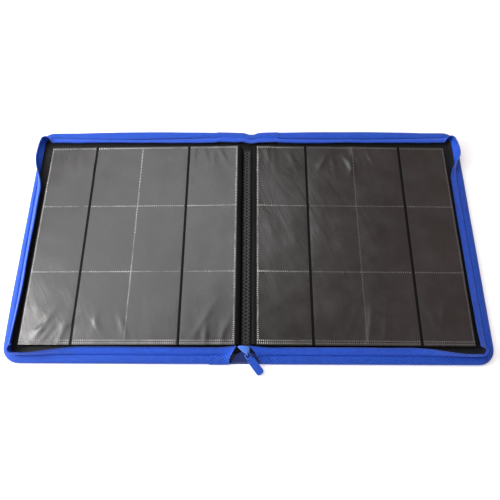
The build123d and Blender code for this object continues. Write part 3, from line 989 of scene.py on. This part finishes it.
def scatterCreases(x, y, angle, many):  # centres, directions, lengths and heights drawn about a place
    return [(rng.normal(x, 16), rng.normal(y, 7), rng.normal(angle, 16), rng.uniform(10, 26),
             rng.uniform(0.25, 0.75)) for _ in range(many)]


creases = {-1: [*scatterCreases(34, nearY + 24, 60, 7), *scatterCreases(110, nearY + 26, 115, 5),
                *scatterCreases(245, farY - 16, 100, 5), *scatterCreases(60, farY - 30, 130, 4),
                *scatterCreases(250, nearY + 20, 70, 4)],
           1: [*scatterCreases(120, farY - 18, 75, 9), *scatterCreases(165, farY - 22, 105, 7),
               *scatterCreases(262, farY - 14, 100, 5), *scatterCreases(60, nearY + 24, 80, 5),
               *scatterCreases(130, nearY + 24, 100, 5)]}


def leafHeight(side, number, reach, y):  # top of a leaf at a distance from the spine's middle
    inner = leafHigh[2] + (2 - number) * innerPitch
    outer = leafLow[2] + leafThick + (2 - number) * outerPitch
    plain = inner + (outer - inner) * (reach - innerX) / (outerX - innerX)
    lift = leafRise.get(number, 0) * np.exp(-(reach - innerX) / 20)
    wave = 0.10 * np.sin(reach / 43 + number) * np.sin(y / 57 + 2 * number + side)
    if number == 1:
        wave = wave * 2.2 + 0.12 * np.sin(reach / 17 + y / 31 + side) * np.sin(y / 23)
    return plain + lift + wave


def leafPlan(low, high, step):
    return np.broadcast_arrays(ease(low, high, step)[None, :], ease(nearY, farY, step * 1.2)[:, None])


def leafSlab(shape, side, reach, y, top, bottom):
    grids = [np.stack([side * reach, y, height], -1) for height in (top, bottom, 0 * y)]
    return shape.slab(*grids)


def puff(side, reach, y):  # how far each pocket's film stands up from the backing
    x = outerX - reach
    total = np.zeros_like(reach)
    cells = (film["strips"][0], (film["strips"][1][0], film["weld"]),
             (film["weld"], film["strips"][1][1]), film["strips"][2])
    lines = [nearY + film["second"], *rows, farY - film["margin"]]
    for column, (low, high) in enumerate(cells):
        for row, (bottom, top) in enumerate(zip(lines, lines[1:])):
            u = np.clip((x - low) / (high - low), 0, 1)
            v = np.clip((y - bottom) / (top - bottom), 0, 1)
            swell = (np.sin(math.pi * u) * np.sin(math.pi * v))**0.55
            wrinkle = 1 + 0.35 * np.sin(x / 9 + y / 14 + column) * np.sin(y / 11 - x / 21 + row)
            total += cellHeights[(side + 1) // 2, column, row] * swell * wrinkle
    return (total + edgeCreases(side, x, y)) * (0.25 + 0.75 * gentle((reach - innerX) / 30))


def edgeCreases(side, x, y):  # short creases fan out from the pocket mouths and the welded edges
    total = np.zeros_like(x)
    for cx, cy, angle, reachOut, size in creases[side]:
        dx, dy = x - cx, y - cy
        turn = math.radians(angle)
        along = dx * math.cos(turn) + dy * math.sin(turn)
        across = dy * math.cos(turn) - dx * math.sin(turn)
        fade = np.exp(-(across / (3.0 + 0.07 * np.abs(along)))**2 - (along / reachOut)**2)
        total += size * fade
    return total


def bead():  # one weld dimple, flat side down
    angle = np.arange(6) * math.tau / 6
    circle = np.stack([np.cos(angle), np.sin(angle)], -1) * dot["radius"]
    points = [(*spot, -dot["under"]) for spot in circle]
    points += [(*(spot * 0.6), dot["height"] * 0.8) for spot in circle]
    points += [(0, 0, dot["height"]), (0, 0, -dot["under"])]
    faces = [(k, (k + 1) % 6, 6 + (k + 1) % 6, 6 + k) for k in range(6)]
    faces += [(6 + k, 6 + (k + 1) % 6, 12) for k in range(6)] + [((k + 1) % 6, k, 13) for k in range(6)]
    return np.array(points), faces


def weldSpots():  # distance from the free edge, how far up the leaf, and each dimple's length both ways
    spots = []
    for y in (nearY + film["margin"], nearY + film["second"], *rows, farY - film["margin"]):
        for low, high in film["strips"]:
            across = np.arange(low + 1.2, high - 0.6, dot["pitch"])
            spots += [(x, y, dot["short"], dot["long"]) for x in across]
    for x in (film["strips"][0][0] + 1.4, film["weld"], film["strips"][2][1] - 1.6):
        for y in np.arange(nearY + film["second"] + 1, farY - film["margin"], dot["pitch"]):
            spots.append((x + 0.15 * math.sin(y / 7), y, dot["long"], dot["short"]))
    return np.array(spots)


def filmFace(prefix, side, number, body, replaced, under=False):
    share = swellShare[number]
    for part, (low, high) in zip(film["parts"], film["strips"]):
        name = f"{prefix}_film_{part}"
        reach, y = leafPlan(outerX - high, outerX - low, film["step"])
        base = leafHeight(side, number, reach, y)
        swell = puff(side, reach, y) * share
        shape = leafSlab(Shape(), side, reach, y, base + swell, base - film["thick"])
        if under:
            lowest = base - leafThick
            leafSlab(shape, side, reach, y, lowest + film["thick"], lowest - 0.25 * swell)
        fasten(shape.make(name, "pocketFilm"), body, *([name] if replaced else []))
    template, faces = bead()
    spots = weldSpots()
    reach, y = outerX - spots[:, 0], spots[:, 1]
    height = leafHeight(side, number, reach, y)
    points = np.stack([side * reach, y, height + puff(side, reach, y) * share], -1)
    rise = rng.uniform(0.6, 1.3, len(points)) * (0.35 + 0.65 * gentle((reach - innerX) / 30))
    axes = [(np.array([wide, 0, 0]), np.array([0, deep, 0]), np.array([0, 0, up]))
            for wide, deep, up in zip(spots[:, 2], spots[:, 3], rise)]
    shape = Shape().scatter(template, faces, points, axes)
    if under:
        points[:, 2] = height - leafThick
        shape.scatter(template, faces, points, [(a, -b, -0.6 * c) for a, b, c in axes])
    fasten(shape.make(prefix + "_welds", "weldLine"), body)


def leafSheet(name, side, number, body, node, thick):
    reach, y = leafPlan(innerX, outerX, 7.0)
    top = leafHeight(side, number, reach, y) - film["thick"]
    shape = leafSlab(Shape(), side, reach, y, top, top - thick)
    fasten(shape.make(name, "leafBacking"), body, node)


margin = {"foot": 5.3, "perLeaf": 0.42, "low": 5.2, "under": 0.15, "thick": 0.26, "sway": 0.25,
          "points": 16, "rows": 60, "start": (6, 5.5), "end": (12, 10),
          "turningEnd": 17, "turningPoints": 6}


def bindingMargin(side, number, word):  # from the leaf's inner edge down to the strip
    foot, low = margin["foot"] + margin["perLeaf"] * (number - 1), margin["low"]
    y = np.linspace(nearY + 1, farY - 1, margin["rows"])
    top = leafHeight(side, number, np.full_like(y, innerX), y) - margin["under"]
    lines = []
    for place, height in zip(y, top):
        sway = margin["sway"] * math.sin(place / 21 + number)
        points = [(innerX + 0.6, height), (innerX - 1.0, height - 0.1), (foot + 2.4 + sway, height - 1.5),
                  (foot + 0.9 + sway, (height + low) / 2 + 1), (foot, low)]
        line = smoothLine(points, margin["points"])
        lines.append(np.stack([side * line[:, 0], np.full(len(line), place), line[:, 1]], -1))
    grid = np.stack(lines)
    lower = grid - margin["thick"] * normalsOf(grid, (-side, 0, 0.5))
    turns = number == 1 and side < 0
    if turns:  # ends early, or its foot would swing down through the spine with the leaf
        grid, lower = grid[:, :margin["turningPoints"]], lower[:, :margin["turningPoints"]]
    piece = Shape().slab(grid, lower, foldMeasure(grid))
    piece = piece.make(f"{word}_margin_{number:02d}", "leafBacking")
    if turns:
        x, _, z = grid[margin["rows"] // 2, -1] * mm
        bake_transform(piece)
    else:
        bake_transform(piece)


def leaves(word, side):
    pages = word + "_pages"
    topBody = "turning_leaf" if side < 0 else pages
    first = f"{word}_leaf_01"
    leafSheet(first + "_backing", side, 1, topBody, first + "_backing", leafThick - 2 * film["thick"])
    filmFace(first, side, 1, topBody, True, under=True)
    for number in range(2, 11):
        name = f"{word}_leaf_{number:02d}"
        leafSheet(name + "_sheet", side, number, pages, name, leafThick - film["thick"])
    filmFace(word + "_leaf_02", side, 2, pages, False)
    for number in range(1, 11):
        bindingMargin(side, number, word)


for word, side in (("left", -1), ("right", 1)):
    leaves(word, side)
print("leaves made")

# Solids that keep their shape get their finish here

solidFinish = {"pull_link": "linkEnamel", "pull_tab": "pullRubber",
               "binding_strip": "bindingPlastic", "zip_stop_near": "coilNylon", "zip_stop_far": "coilNylon",
               "front_board": "stiffBoard", "back_board": "stiffBoard", "spine_board": "stiffBoard"}
for node, finish in solidFinish.items():
    part = frame["nodes"][node]
    part.data.materials.clear()
    part.data.materials.append(materials[finish])


# Floor and surroundings

stage = {"reach": 4000, "height": -0.2, "floor": (0.95, 0.95, 0.95, 1), "glow": 0.30, "rough": 0.7,
         "sky": 0.44, "tints": ((0.0, (1.0, 1.0, 1.0)), (0.3, (1.0, 0.80, 0.74)))}


def makeStage():
    pale = bpy.data.materials.new("paleFloor")
    Shop(pale).finish(Base_Color=stage["floor"], Roughness=stage["rough"], Emission_Color=(1, 1, 1, 1),
                      Emission_Strength=stage["glow"])
    plan = crossPlan(-stage["reach"], stage["reach"], stage["reach"], 9, 9)
    floor = bpy.data.meshes.new("floor")
    points = withHeight(plan, stage["height"]).reshape(-1, 3)
    floor.from_pydata((points * mm).tolist(), [], gridFaces(9, 9).tolist())
    floor.materials.append(pale)
    ground = bpy.data.objects.new("floor", floor)
    bpy.context.scene.collection.objects.link(ground)
    world = bpy.data.worlds.new("studio")
    shop = Shop(world)
    direction = shop.add("ShaderNodeTexCoord", {}, out="Generated")
    tint = shop.add("ShaderNodeValToRGB", {"stops": stage["tints"]}, shop.split(direction)[0])
    shop.add("ShaderNodeOutputWorld", {}, shop.add("ShaderNodeBackground", {}, tint, stage["sky"]))
    bpy.context.scene.world = world


makeStage()
print("stage made")
